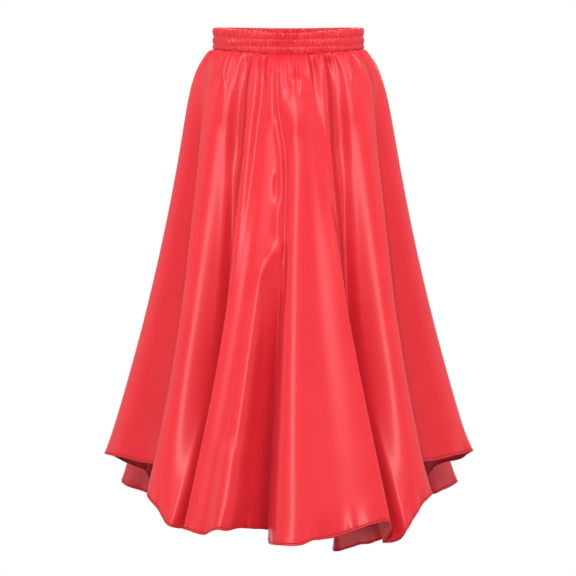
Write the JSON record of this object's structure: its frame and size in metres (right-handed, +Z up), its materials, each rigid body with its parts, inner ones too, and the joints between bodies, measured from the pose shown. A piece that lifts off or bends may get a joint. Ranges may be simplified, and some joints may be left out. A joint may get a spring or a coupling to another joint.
{
  "type": "circle skirt",
  "caption": "Long red satin circle skirt with a shirred elastic waistband, filled out as worn: hollow, open at the waist and the hem, hanging in deep flutes.",
  "frame": {"origin": "the middle of the waist opening, half way up the waistband, where the wearer holds the skirt up", "axes": "+Z up, the centre front toward -Y, +X to the right of somebody who looks at the front"},
  "size_m": [0.6306, 0.5415, 0.9142],
  "materials": {
    "skirt_front": "satin",
    "skirt_back": "satin",
    "waistband_front": "shirred satin",
    "waistband_back": "shirred satin"
  },
  "bodies": {
    "root": {"skirt_front": "skirt_front", "skirt_back": "skirt_back", "waistband_front": "waistband_front", "waistband_back": "waistband_back"}
  },
  "joints": []
}
